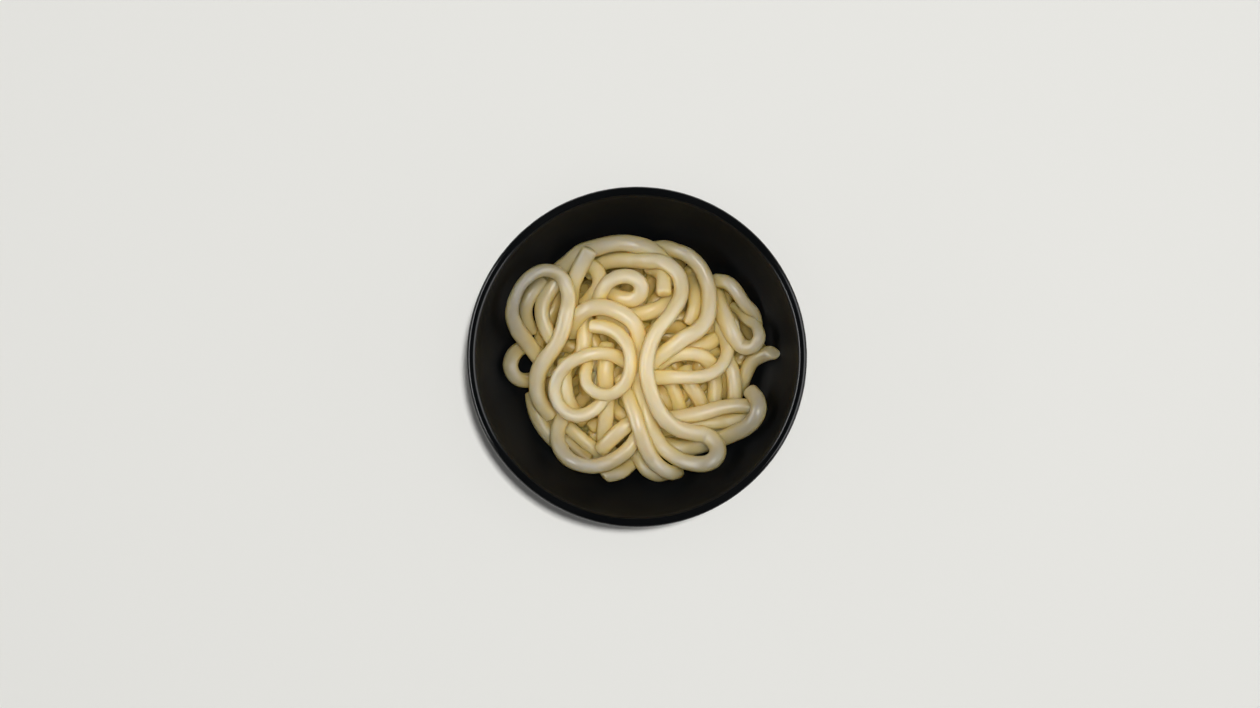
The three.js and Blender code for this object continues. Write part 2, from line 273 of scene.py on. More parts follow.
def black_glaze():
    """Deep black glaze, pooled a little unevenly, over clay that is bare on the foot's bearing face."""
    material, tree, shader, place = new_material("black_glaze")

    # bare clay up to a wavering glaze line just above the table
    split = tree.nodes.new("ShaderNodeSeparateXYZ")
    tree.links.new(place, split.inputs[0])
    waver = noise(tree, place, scale=90)
    line = multiply_add(tree, waver, GLAZE_LINE_WAVER, split.outputs["Z"])
    glazed = mapped(tree, line, GLAZE_LINE, (0, 1)).outputs["Result"]

    # the glaze's own slight change of tone
    pooling = noise(tree, place, scale=38, detail=4)
    tone = colour_ramp(tree, pooling, (0.35, GLAZE_POOLED), (0.7, GLAZE_THIN))
    colour = tree.nodes.new("ShaderNodeMix")
    colour.data_type = "RGBA"
    colour.inputs["A"].default_value = (*BARE_CLAY, 1)
    tree.links.new(glazed, colour.inputs["Factor"])
    tree.links.new(tone, colour.inputs["B"])
    tree.links.new(colour.outputs["Result"], shader.inputs["Base Color"])

    # glossy over the rim and outside, satin down the inside, with the faint unevenness of firing
    level, reach = out_from_axis(tree, place)
    facing = tree.nodes.new("ShaderNodeNewGeometry")
    outward = tree.nodes.new("ShaderNodeVectorMath")
    outward.operation = "DOT_PRODUCT"
    tree.links.new(facing.outputs["Normal"], outward.inputs[0])
    tree.links.new(level, outward.inputs[1])
    wall = mapped(tree, outward.outputs["Value"], FACING_OUT, SATIN_TO_GLOSSY)
    lip = mapped(tree, reach, LIP, SATIN_TO_GLOSSY)
    tree.links.new(wall.outputs["Result"], lip.inputs["To Min"])
    sheen = multiply_add(tree, pooling, FIRING_UNEVENNESS, lip.outputs["Result"])
    rough = tree.nodes.new("ShaderNodeMix")
    rough.inputs["A"].default_value = CLAY_ROUGHNESS
    tree.links.new(glazed, rough.inputs["Factor"])
    tree.links.new(sheen, rough.inputs["B"])
    tree.links.new(rough.outputs["Result"], shader.inputs["Roughness"])
    shader.inputs["IOR"].default_value = 1.36
    shader.inputs["Specular IOR Level"].default_value = 0.32
    add_relief(tree, shader, noise(tree, place, scale=260), strength=0.05)
    return material


bowl = turned_piece("black_bowl", bowl_profile(), BOWL_TURNS, black_glaze())
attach(bowl, "root")
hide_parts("bowl")


# ---------------------------------------------------------------------------------------------
# The noodles that show: boiled udon, cut square and swollen soft, looped and crossed over each
# other. Each strand follows a route through the heap, settles where it touches its neighbours
# and the glaze, and is drawn out with a soft square section that turns and swells a little.
# ---------------------------------------------------------------------------------------------
STRAND_WIDTH = 0.0064
STRAND_HEIGHT = 0.0056
SQUARENESS = 2.25  # 2 would be a round strand
LAYER = 0.0052

# The bed that the lowest strands lie on is domed: its height on the axis, and its fall by a radius.
CREST_HEIGHT = 0.0305
CREST_DROP = 0.005
CREST_RADIUS = 0.045
WALL_GAP = 0.00035
GLAZE_GAP = 0.0002

# How far strands turn and swell as they go, in radians and as a share, and over what length.
FIRST_TWIST = 0.35
TWIST = 0.9
TWIST_LENGTH = 0.026
UNEVENNESS = 0.08
UNEVEN_LENGTH = 0.012

# Strands settle as runs of points: how far apart these are, how closely two strands touch, how
# hard each point is drawn back to its place, and for how many rounds.
CURVE_STEPS = 24
SPACING = 0.0026
CLOSENESS = 0.86
TOUCH = np.array((STRAND_WIDTH, STRAND_WIDTH, STRAND_HEIGHT)) * CLOSENESS
HOME_PULL = np.array((0.05, 0.05, 0.03))
SETTLE_ROUNDS = 60
ROUNDS_BETWEEN_SEARCHES = 10
EASINGS = 3
SEED = 41

# Then each is skinned: steps along it, sides round it, and a soft cut face at either end, as rings
# that draw in by a share and stand out by a height.
SKIN_STEP = 0.0011
SKIN_SIDES = 24
CUT_FACE = ((0.05, 0.0004), (0.16, 0.0008), (0.34, 0.00105), (0.64, 0.0012))
SLANTED = {"beak": (0.35, 0.65), "toe": (0.6, 0.0)}  # first ends cut at a slant, sideways and upwards
SLANT_RINGS = 8
SLANT_LENGTH = 0.004

# Dough's own colours: the deeper and the paler of its clouds, and a painted highlight, a paler and whiter
# tint for the faces that look up towards the lamps.
DOUGH_AND_TOP_HIGHLIGHT = ((0.900, 0.700, 0.335), (0.935, 0.765, 0.415), (0.72, 0.75, 0.90))

# Painted shade: tints at steps from deep in a fold to the open, and from the middle of the heap out
# to the wall, where the bowl's wall shades the lower strands, and the painted shade, warmer and darker, on a
# strand's flank.
FOLD_SHADE_TINTS = ((0.12, (1.0, 0.92, 0.56)), (0.50, (1.0, 0.965, 0.74)), (0.92, (0.97, 0.98, 1.0)))
WALL_SHADE_TINTS = ((0.016, (1.0, 1.0, 1.0)), (0.040, (0.83, 0.845, 0.91)), (0.056, (0.42, 0.465, 0.62)))
FLANK_SHADE = (0.94, 0.91, 0.74)
# how far the painted fold shade reaches
FOLD_SHADE_REACH = 0.018
DEEP_GLOW = (1.0, 0.80, 0.42)  # how far red, green and blue light carry in the dough
DEEP_GLOW_LENGTH = 0.0055
MOIST_ROUGHNESS = (0.28, 0.42)

# Routes along the middle of each strand, [x, y, layer], in millimetres and in strands beneath.
ROUTES = {
    # left side: a tall loop closed over itself, with two strands inside it and an ear under it
    "tall_loop": [(-36.5, -6.5, 0.4), (-41.5, -0.5, 1), (-46.2, 6, 1.6), (-50.3, 12, 2),
                  (-52, 19.5, 2.2), (-47.5, 30.5, 2.3), (-40, 36, 2.4), (-32.5, 34.5, 2.6),
                  (-28.8, 27, 2.8), (-29, 19, 3), (-33, 6.5, 2.8), (-40.8, -5, 2.3), (-42.2, -12, 2),
                  (-40.8, -19, 1.7), (-36.5, -24.5, 1.1)],
    "loop_floor": [(-39.5, 32, 0.4), (-44, 27.5, 0.6), (-46.8, 22, 0.6), (-47, 16.5, 0.4),
                   (-45, 11, 0.2)],
    "loop_inner": [(-34, 32.5, 1.2), (-37.2, 27.5, 1.5), (-39.8, 21.8, 1.8), (-39.6, 15.5, 1.9),
                   (-37.2, 9.8, 1.8), (-34.2, 4.5, 1.3)],
    "ear": [(-47.5, 4.5, 0), (-50.5, 2.8, 0), (-52.8, -0.5, 0.2), (-53.3, -4.3, 0.4),
            (-51.6, -8.2, 0.4), (-48.3, -10, 0.3), (-44.5, -9.8, 0.2)],
    "lower_left": [(-44.5, -16, -0.2), (-44, -20, 0), (-41.5, -27, 0.1), (-37.5, -33, 0.2),
                   (-31, -39.5, 0.1)],

    # front left: a wide pocket with strands crossing beneath it
    "pocket": [(-30, -24, 1.2), (-33, -30, 1.9), (-33, -36.5, 2), (-28.5, -43, 2), (-19.5, -46, 2),
               (-10.5, -44, 2), (-3, -38.5, 1.8), (1, -32.5, 1.5)],
    "pocket_floor": [(-34, -25.5, 0.1), (-27, -32, 0.5), (-20, -38, 0.5), (-13.5, -43.5, 0.1),
                     (-9, -48, -0.4)],
    "drop": [(-12.5, 5, 1.3), (-13, -2, 1.6), (-13.2, -8, 1.6), (-12.8, -14, 1.3), (-12.6, -20, 1.1),
             (-13.2, -27, 1), (-13.8, -33, 0.5), (-12.8, -38, -0.2), (-11.5, -41, -0.6)],
    "fan": [(-15, -39.5, 1.2), (-12, -36, 1.4), (-5.5, -30, 1.5), (1, -25.5, 1)],
    "toe": [(-13.2, -50.8, 0.2), (-9, -49.6, 0.3), (-3.5, -46.6, 0.2), (1, -43, -0.1)],
    "heel": [(-2, -37, 0.4), (1, -43, 0.9), (4.5, -48, 0.9), (9, -50, 0.5), (13, -49.3, 0)],
    "runner": [(-6.5, -9, 1.4), (-3.2, -16, 2.1), (0.5, -28, 2.9), (3.3, -36.5, 2.9), (6.5, -42.8, 2.7),
               (10.3, -46.8, 2.2), (14.3, -48.8, 1.4), (17.5, -48.5, 0.4)],

    # middle: the long S on top, which comes back up beside itself and ends as the brow over the
    # rings on its left, and a curl behind it
    "long_s": [(-21, 35.5, 0.1), (-15, 39.8, 0.5), (-8, 41.3, 0.9), (-1, 41, 1.4), (5, 41, 2.1),
               (12.5, 39, 2.8), (17.6, 34, 3.1), (18.5, 26, 3.4), (15, 19, 3.8), (8, 10, 4.2),
               (4.6, 1, 4.2), (4.2, -7, 4.2), (6.8, -17, 4), (10.8, -24.8, 3.8), (17, -29.8, 3.4),
               (23.5, -31.8, 3), (29, -33, 2.7), (32.8, -36, 2.4), (34, -39.6, 2.2), (32.2, -43, 2.2),
               (28, -44.8, 2.3), (19, -43.5, 2.5), (11, -38, 2.4), (6, -30, 2.4), (3, -21, 2.2),
               (1.2, -12, 2.2), (0.8, -3, 2.4), (1, 4, 2.8), (0.5, 10, 3.2), (-2, 15, 3.4),
               (-7.5, 18.8, 3.5), (-14, 20.8, 3.4), (-20.5, 20, 3.1), (-26, 15.5, 2.2),
               (-27.5, 10, 0.8)],
    "curl": [(-17, 20.5, 2.1), (-15, 26.5, 3), (-12, 31, 3.6), (-7, 33.5, 3.8), (-2, 33.2, 3.8),
             (1.5, 30.5, 3.7), (1.5, 26.5, 3.3), (-2, 24, 2.9), (-7, 24.8, 2.4), (-11, 27, 1.8)],
    "tongue": [(6, 38.5, 0.9), (9.5, 36.8, 1.6), (11.2, 33.2, 2.4), (11.3, 27, 2.9)],
    "band": [(-16, 16.3, 1.5), (-8.5, 14.6, 1.6), (-3.2, 9.8, 1.7), (-1.2, 4, 1.3)],
    "sill": [(-5, 18.3, 1.6), (0, 18, 1.8), (7, 19.5, 1.9), (14, 23, 1.6), (18.5, 27.5, 1.3)],
    "post": [(-21.5, 16, 1.4), (-22, 10, 1.6), (-22.5, 4, 1.6), (-25, -2, 1.2)],
    "ring": [(-18.5, 13, 2.4), (-12, 12, 2.9), (-7, 9, 3.4), (-3.5, 4, 3.8), (-2.5, -3, 3.9),
             (-4.5, -10.5, 3.7), (-10, -15.3, 3.5), (-16, -15.3, 3.4), (-20.5, -12, 3.2),
             (-21.5, -7.5, 2.8), (-20.5, -2.5, 2.2)],
    "wreath": [(-5, -2, 2.2), (-10.5, 1, 2.8), (-16.5, 1.5, 3.2), (-23, 0, 3.4), (-29.2, -3.5, 3.4),
               (-33.3, -9, 3.1), (-34.4, -15, 3), (-31.8, -21.2, 3), (-26.5, -24.6, 3),
               (-20, -23.4, 2.7), (-15.5, -20, 2.4), (-12.5, -15.5, 2.2)],
    "wreath_bar": [(-30.2, -2, 1.7), (-30.4, -9, 2.2), (-29.7, -15, 2.3), (-28, -20.5, 1.9),
                   (-24.5, -25.5, 1.2)],

    # far side: the crown, and under its end the shoulder that comes forward on the right
    "crown": [(-37, 31.5, 0.2), (-32, 37.5, 0.4), (-25.5, 42.5, 0.7), (-17, 46.2, 1), (-8.5, 48, 1.3),
              (-1, 47.6, 1.6), (5, 45.2, 1.7), (10.3, 41.5, 1.5), (13.8, 36.5, 1.1), (14.8, 31, 0.8)],
    "shoulder": [(-4, 43.5, 0.1), (2, 45.4, 0.2), (8, 46, 0.4), (15, 45.4, 1.1), (21, 43.2, 1.7),
                 (26.5, 38, 2.1), (30, 30, 2.4), (30.5, 22, 2.6), (29.5, 16, 2.8), (25.5, 11, 3),
                 (20, 8, 3.1), (14, 3.5, 3), (9.5, 0, 2.8), (6.3, -3, 2.5)],
    "stub": [(-20, 44.5, 2.3), (-23, 39, 2.5), (-25.5, 34, 2.3), (-27.5, 28, 1.7), (-28, 22, 1.4)],
    "nape": [(-21, 40, 1.4), (-17, 36.5, 1.5), (-15.5, 31.5, 1.6), (-18, 26.5, 1.4), (-22, 22, 1)],

    # right side: a hairpin that starts under a low wing, and a beak against the wall
    "bib": [(23.5, 38, -0.5), (24.7, 32, 0), (25, 26, 1.2), (24.5, 20, 1.5), (22.5, 14.5, 1.3)],
    "wing": [(33.6, 32.4, 0.9), (39, 31, 1.1), (44, 25, 1), (47.8, 18.8, 0.5), (50.4, 13.5, 0)],
    "lobe": [(33.5, 29, 0.2), (34.8, 23.1, 1.2), (37.3, 16.4, 1.9), (40.6, 9.5, 2.3), (44.3, 4.6, 2.4),
             (48.7, 4.2, 2.3), (51.4, 8, 2), (50.3, 12.6, 1.5), (47.6, 15.8, 0.9), (44.2, 19, 0.3),
             (41.5, 21.8, 0)],
    "beak": [(56.8, 1.8, 0), (53.6, 0.9, 0.5), (49, -2, 0.7), (46.5, -7, 0.6), (44.5, -12, 0.4),
             (42, -17, 0.2)],

    # front right: a hook, and a stack of strands over a web of lower ones
    "hook": [(35, 19, 0.5), (35.5, 13, 0.9), (37.6, 7, 1.3), (38.2, 1.5, 2.1), (35.5, -4, 2.7),
             (30, -7.5, 3), (24, -8.5, 3), (15, -8.5, 2.9), (7, -8.6, 2.3)],
    "arch": [(5.5, -7.5, 1), (9.5, -3, 1.5), (15.5, 0.5, 1.9), (22, 1.5, 2.1), (28, 0, 1.9),
             (32.5, -4, 1.5)],
    "tie": [(36, 9.5, 0), (32.5, 7, 0.7), (27.5, 4.5, 1.1), (22.5, 3.5, 1), (17, 2.5, 0.8)],
    "rib": [(38, 0, 1), (40.6, -6, 1.4), (41.6, -12, 1.5), (41.6, -19, 1.2)],
    "shelf": [(7, -27, 1.5), (14, -26, 2), (21, -25, 2.2), (28, -23.5, 2.4), (35, -21.5, 2.5),
              (41.5, -20.5, 2.3), (46.5, -21, 1.5), (49.5, -22.5, 0.7)],
    "shelf_low": [(48, -26, 0.4), (43.5, -27, 1), (38, -27.3, 1.4), (31, -27.8, 1.5), (24, -28.4, 1.5),
                  (17, -29, 1.3), (11, -30.5, 0.9)],
    "cheek": [(48, -14.6, 1.9), (50.4, -18, 2), (50.8, -22.3, 2), (48.8, -26.6, 1.8), (45.2, -30, 1.5),
              (40.2, -32.7, 1.1), (34.2, -35.3, 0.9), (28, -37.4, 0.9), (21, -38.8, 0.9),
              (14, -38, 0.7), (7, -35.5, 0.3)],
    "lining": [(22, -31.5, 0.4), (29, -32, 0.4), (36, -31.5, 0.2), (42, -29.5, -0.2)],
    "web_a": [(12, -5, 0.2), (14, -11, 0.5), (17, -17.5, 0.6), (19, -25, 0.3)],
    "web_b": [(20.5, -5, 0.5), (22.5, -11.5, 0.9), (26, -17, 0.9), (28.5, -23.5, 0.5)],
    "web_c": [(33, -6, -0.2), (33.6, -12.5, 0), (33, -19, 0), (32, -25, -0.2)],
}

# How wide each strand is from its first point to its last, as shares of STRAND_WIDTH; the rest are 1.
SWELL = {
    "tall_loop": (1.0, 1.05, 1.05, 0.84, 0.80, 0.84, 0.95, 1.0, 1.06, 1.12, 1.12, 1.1),
    "long_s": (1.1, 1.1, 1.05, 1.0, 1.0, 1.08, 1.12, 1.1, 1.08, 1.04, 1.04, 1.1, 1.1),
    "crown": (1.1,),
    "cheek": (1.06,),
    "shelf": (1.04,),
    "lobe": (1.0, 1.12, 1.14, 1.1, 0.95, 0.80, 0.72, 0.70),
    "wing": (0.92,),
    "drop": (1.0, 1.12, 1.12, 1.0, 0.95),
    "hook": (0.90, 0.88, 0.92, 1.0),
    "wreath": (0.9, 0.9, 0.86, 0.82, 0.84, 0.88),
    "ring": (0.95, 0.95, 0.88, 0.82, 0.82),
    "toe": (0.80, 0.95),
}

draw = np.random.default_rng(SEED)


def bed_height(r):
    """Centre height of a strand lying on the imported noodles, or on the wall further out."""
    on_wall = inside_height(r) + (STRAND_WIDTH / 2 + WALL_GAP) * np.hypot(1, inside_slope(r))
    on_core = CREST_HEIGHT - CREST_DROP * (r / CREST_RADIUS) ** 2
    return np.maximum(on_wall, on_core)


def smooth_line(points, spacing):
    """An even run of points along a centripetal curve through the given ones."""
    p = np.array(points, float)
    p = np.vstack([2 * p[0] - p[1], p, 2 * p[-1] - p[-2]])
    t = np.linspace(0, 1, CURVE_STEPS, endpoint=False)[:, None]
    fine = []
    for p0, p1, p2, p3 in zip(p, p[1:], p[2:], p[3:]):
        d0, d1, d2 = (math.sqrt(np.linalg.norm(b - a)) for a, b in ((p0, p1), (p1, p2), (p2, p3)))
        m1 = d1 * ((p1 - p0) / d0 - (p2 - p0) / (d0 + d1) + (p2 - p1) / d1)
        m2 = d1 * ((p2 - p1) / d1 - (p3 - p1) / (d1 + d2) + (p3 - p2) / d2)
        fine.append(p1 + m1 * t + (3 * (p2 - p1) - 2 * m1 - m2) * t**2 + (2 * (p1 - p2) + m1 + m2) * t**3)
    fine = np.vstack(fine + [p[-2:-1]])
    run = np.r_[0, np.cumsum(np.linalg.norm(np.diff(fine, axis=0), axis=1))]
    count = max(4, int(round(run[-1] / spacing)) + 1)
    even = np.linspace(0, run[-1], count)
    return np.column_stack([np.interp(even, run, fine[:, k]) for k in range(3)])


def laid_route(route):
    """A route in metres, each point as many layers above the bed as it says, as an even line."""
    middle = [
        (x / 1000, y / 1000, float(bed_height(math.hypot(x, y) / 1000)) + layer * LAYER)
        for x, y, layer in route
    ]
    return smooth_line(middle, SPACING)


def settle(lines, give, girth, rounds):
    """Eases strands apart where they overlap, each as it gives, and off the wall, and holds them home."""
    starts = np.cumsum([0] + [len(line) for line in lines])
    owner = np.repeat(np.arange(len(lines)), np.diff(starts))
    give, girth = np.asarray(give, float)[owner], np.concatenate(girth)
    p = np.vstack(lines)
    home = p.copy()
    for turn in range(rounds):
        if turn % ROUNDS_BETWEEN_SEARCHES == 0:
            near = np.linalg.norm(p[:, None] - p[None], axis=2) < 2 * STRAND_WIDTH
            a, b = np.nonzero(near)
            apart_along = (owner[a] != owner[b]) | (abs(a - b) * SPACING > 2 * STRAND_WIDTH)
            pairs = (a < b) & apart_along & (give[a] + give[b] > 0)
            a, b = a[pairs], b[pairs]
            size = TOUCH * ((girth[a] + girth[b]) / 2)[:, None]
        gap = (p[a] - p[b]) / size
        apart = np.maximum(np.linalg.norm(gap, axis=1), 1e-6)
        push = gap * size * (np.maximum(1 - apart, 0) / apart / (give[a] + give[b]))[:, None]
        move = np.zeros_like(p)
        np.add.at(move, a, push * give[a][:, None])
        np.add.at(move, b, -push * give[b][:, None])
        hits = np.bincount(np.r_[a[apart < 1], b[apart < 1]], minlength=len(p))
        move = move / np.sqrt(np.maximum(hits, 1))[:, None] + (home - p) * HOME_PULL
        for first, last in zip(starts, starts[1:]):
            for _ in range(EASINGS):
                padded = np.vstack([move[first:first + 1], move[first:last], move[last - 1:last]])
                move[first:last] = (padded[:-2] + 2 * padded[1:-1] + padded[2:]) / 4
        p = p + move
        r = np.hypot(p[:, 0], p[:, 1])
        wall = inside_height(r) + (STRAND_WIDTH / 2 * girth + WALL_GAP) * np.hypot(1, inside_slope(r))
        p[:, 2] = np.maximum(p[:, 2], wall)
    return [p[first:last] for first, last in zip(starts, starts[1:])]


def wander(count, reach, step, length):
    """A slow random change along a strand, between minus reach and plus reach."""
    knots = max(3, int(count * step / length) + 2)
    values = np.interp(np.linspace(0, knots - 1, count), np.arange(knots), draw.uniform(-reach, reach, knots))
    for _ in range(int(length / step)):
        padded = np.r_[values[:1], values, values[-1:]]
        values = (padded[:-2] + 2 * padded[1:-1] + padded[2:]) / 4
    return values


def spread(shares, count):
    """Shares given at even steps along a strand, read off at count points of it."""
    return np.interp(np.linspace(0, 1, count), np.linspace(0, 1, len(shares)), shares)


def cut_face(ring, centre, out):
    """The rings of a soft cut face, drawn in from a strand's last ring."""
    for inset, rise in CUT_FACE:
        yield centre + (ring - centre) * (1 - inset) + out * rise


def strand_rings(line, shares, step, around, slant=(0.0, 0.0)):
    """Rings of points down one strand: a soft square that turns and swells, cut off at both ends."""
    line = smooth_line(line, step)
    count = len(line)
    girth = spread(shares, count)
    upright = np.array((0, 0, 1.0))
    along = np.gradient(line, axis=0)
    along /= np.linalg.norm(along, axis=1)[:, None]
    side = np.cross(upright, along)
    side /= np.linalg.norm(side, axis=1)[:, None]
    up = np.cross(along, side)
    twist = draw.uniform(-FIRST_TWIST, FIRST_TWIST) + wander(count, TWIST, step, TWIST_LENGTH)
    wide = girth * STRAND_WIDTH / 2 * (1 + wander(count, UNEVENNESS, step, UNEVEN_LENGTH))
    tall = girth * STRAND_HEIGHT / 2 * (1 + wander(count, UNEVENNESS, step, UNEVEN_LENGTH))
    angle = np.linspace(0, 2 * math.pi, around, endpoint=False)
    flat_x = np.sign(np.cos(angle)) * np.abs(np.cos(angle)) ** (2 / SQUARENESS)
    flat_y = np.sign(np.sin(angle)) * np.abs(np.sin(angle)) ** (2 / SQUARENESS)
    rings = []
    for i in range(count):
        u = side[i] * math.cos(twist[i]) + up[i] * math.sin(twist[i])
        v = up[i] * math.cos(twist[i]) - side[i] * math.sin(twist[i])
        rings.append(line[i] + wide[i] * flat_x[:, None] * u + tall[i] * flat_y[:, None] * v)
    rings = [*cut_face(rings[0], line[0], -along[0])][::-1] + rings
    rings += cut_face(rings[-1], line[-1], along[-1])

    # a slant tilts the first end's cut face, and less and less of the rings behind it
    lean = slant[0] * np.cross(along[0], upright) + slant[1] * up[0]
    for k in range(SLANT_RINGS):
        away = 1 - max(0, k - len(CUT_FACE)) * step / SLANT_LENGTH
        rings[k] = rings[k] + along[0] * (away * ((rings[k] - line[0]) @ lean))[:, None]
    return rings


def noodle_piece(name, strands, material):
    """One or more strands, each a list of rings, skinned and put in the bowl as one piece."""
    verts, faces = [], []
    for rings in strands:
        base, around, rows = len(verts), len(rings[0]), len(rings)
        points = np.vstack([rings[0].mean(axis=0)[None], *rings, rings[-1].mean(axis=0)[None]])
        r = np.hypot(points[:, 0], points[:, 1])
        glaze = inside_height(np.minimum(r, INSIDE_RADIUS)) + GLAZE_GAP
        points[:, 2] = np.maximum(points[:, 2], glaze)
        verts += points.tolist()
        last_row = base + 1 + (rows - 1) * around
        for k in range(around):
            n = (k + 1) % around
            faces.append((base, base + 1 + n, base + 1 + k))
            faces.append((last_row + k, last_row + n, last_row + around))
            for row in range(base + 1, last_row, around):
                faces.append((row + k, row + n, row + around + n, row + around + k))
    piece = smooth_piece(name, verts, faces, material)
    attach(piece, "root")
    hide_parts("noodles")


def tinted(tree, colour, tint):
    """A colour multiplied by a tint."""
    mix = tree.nodes.new("ShaderNodeMix")
    mix.data_type = "RGBA"
    mix.blend_type = "MULTIPLY"
    mix.inputs["Factor"].default_value = 1.0
    tree.links.new(colour, mix.inputs["A"])
    tree.links.new(tint, mix.inputs["B"])
    return mix.outputs["Result"]


def boiled_dough(name, deep, pale, top_highlight):
    """Boiled wheat dough: pale cream and moist, with painted shade that makes it warmer in the folds, on its
    flanks and greyer towards the wall, and a painted highlight on top.
    """
    material, tree, shader, place = new_material(name)
    cloud = noise(tree, place, scale=55, detail=3, roughness=0.55)
    colour = colour_ramp(tree, cloud, (0.32, deep), (0.68, pale))

    # painted shade: the dough is deeper and warmer in colour in the folds, where less light reaches
    fold_shade = tree.nodes.new("ShaderNodeAmbientOcclusion")
    fold_shade.samples = 8
    fold_shade.inputs["Distance"].default_value = FOLD_SHADE_REACH
    colour = tinted(tree, colour, colour_ramp(tree, fold_shade.outputs["AO"], *FOLD_SHADE_TINTS))

    # painted light: paler and whiter on faces that look up towards the lamps, and painted shade, warmer and
    # darker, down its sides
    facing = tree.nodes.new("ShaderNodeNewGeometry")
    upright = tree.nodes.new("ShaderNodeSeparateXYZ")
    tree.links.new(facing.outputs["Normal"], upright.inputs[0])
    flank_shade = colour_ramp(tree, upright.outputs["Z"], (0.10, FLANK_SHADE), (0.95, top_highlight))
    colour = tinted(tree, colour, flank_shade)

    # painted shade: greyer and darker towards the wall of the bowl, which keeps light off the lower strands
    reach = out_from_axis(tree, place)[1]
    colour = tinted(tree, colour, colour_ramp(tree, reach, *WALL_SHADE_TINTS))
    tree.links.new(colour, shader.inputs["Base Color"])

    shader.inputs["Subsurface Weight"].default_value = 0.9
    shader.inputs["Subsurface Radius"].default_value = DEEP_GLOW
    shader.inputs["Subsurface Scale"].default_value = DEEP_GLOW_LENGTH
    shader.inputs["IOR"].default_value = 1.40
    moist = mapped(tree, cloud, (0.3, 0.7), MOIST_ROUGHNESS)
    tree.links.new(moist.outputs["Result"], shader.inputs["Roughness"])

    # a fine grain over a slower ripple
    grain = noise(tree, place, scale=900, detail=3)
    ripple = noise(tree, place, scale=210)
    add_relief(tree, shader, multiply_add(tree, grain, 0.25, ripple), strength=0.25)
    return material


dough = boiled_dough("boiled_dough", *DOUGH_AND_TOP_HIGHLIGHT)
lines = [laid_route(route) for route in ROUTES.values()]
girths = [spread(SWELL.get(name, (1.0,)), len(line)) for name, line in zip(ROUTES, lines)]
lines = settle(lines, np.ones(len(lines)), girths, SETTLE_ROUNDS)
for name, line, girth in zip(ROUTES, lines, girths):
    rings = strand_rings(line, girth, SKIN_STEP, SKIN_SIDES, SLANTED.get(name, (0.0, 0.0)))
    noodle_piece("udon_" + name, [rings], dough)


# ---------------------------------------------------------------------------------------------
# The noodles beneath: slack strands, one and two down, that show only through the gaps between
# those on top, and under them the rest, packed into one mass that fills the bottom of the bowl.
# All of them take a darker copy of the dough, painted shade for lying deep under the others.
# ---------------------------------------------------------------------------------------------
# Routes of the strands under the wider gaps, written as in ROUTES.
LOW_ROUTES = {
    "loop_bed": [(-31, 30, 0.2), (-34, 23, 0.6), (-37, 15.5, 0.6), (-40.5, 8.5, 0.4), (-43, 3, 0.2)],
    "pocket_bed": [(-31.5, -30.5, 0), (-29, -36, 0), (-25.5, -40.2, 0.1), (-20, -43.2, 0)],
    "lobe_bed": [(36, 28, -0.6), (38.2, 23, -0.5), (41, 17.5, -0.4), (44.2, 12, -0.3), (46.8, 7, -0.3)],
    "lobe_edge": [(45.5, 16, -0.4), (47.6, 11, -0.4), (48.8, 6.5, -0.4)],
    "hook_bed": [(38.5, -3.5, 0), (39.3, -10, 0.2), (38.8, -16.5, 0.1)],
    "beak_root": [(52, 3.2, -0.2), (47.5, 3.4, 0.1), (43.5, 0, 0.4), (41, -5.5, 0.4)],
    "corner_bed": [(-43, -17, -0.4), (-40, -22.5, -0.4), (-36, -27.5, -0.4), (-31, -32, -0.4)],
    "side_bed": [(-37.5, -3, -0.3), (-37.8, -10, -0.3), (-37, -18, -0.3)],
    "crown_bed": [(12.5, 42, -0.3), (18, 38.5, -0.3), (21.5, 33, -0.3), (22.5, 27, -0.3)],
}

# The other strands beneath run anyhow, within a reach of the axis: how many there are, their layers
# in turn, their points, the fewest that make a strand, and how they bend, over what length.
SLACK_STRANDS = 40
SLACK_REACH = 0.038
SLACK_LAYERS = (-0.15, -1.05)
SLACK_POINTS = 40
SLACK_FEWEST = 9
SLACK_BEND = 0.16
SLACK_BEND_LENGTH = 0.030
LOW_ROUNDS = 40
LOW_STEP = 0.0018
LOW_SIDES = 16

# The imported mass: how far it stays below the strands' bed, and its rings up the wall and over the
# top, the first of which is drawn in from the wall.
PACKED_SINK = 0.0062
PACKED_TURNS = 120
PACKED_WALL_RINGS = 40
PACKED_TOP_RINGS = 16
PACKED_TOP_SHARE = 0.97

# Painted shade: the dough's colours made darker for the pieces that lie beneath, with their own painted
# highlight tint on top.
SHADED_DOUGH = ((0.62, 0.470, 0.200), (0.70, 0.545, 0.260), (0.80, 0.79, 0.78))


def slack_line(layer):
    """A slack curve across the heap, kept away from the wall."""
    half = SLACK_POINTS // 2
    start = SLACK_REACH * math.sqrt(draw.uniform(0, 0.9))
    bearing = draw.uniform(0, 2 * math.pi)
    first_heading = draw.uniform(0, 2 * math.pi)
    heading = first_heading + np.cumsum(wander(SLACK_POINTS, SLACK_BEND, SPACING, SLACK_BEND_LENGTH))
    steps = SPACING * np.column_stack([np.cos(heading), np.sin(heading)])
    middle = np.array((math.cos(bearing), math.sin(bearing))) * start
    path = middle + np.cumsum(steps, axis=0) - steps[:half].sum(axis=0)
    outside = np.hypot(path[:, 0], path[:, 1]) > SLACK_REACH
    first = max(np.flatnonzero(outside[:half]), default=-1) + 1
    last = min(np.flatnonzero(outside[half:]), default=half) + half
    path = path[first:last]
    height = bed_height(np.hypot(path[:, 0], path[:, 1])) + layer * LAYER
    return np.column_stack([path, height])


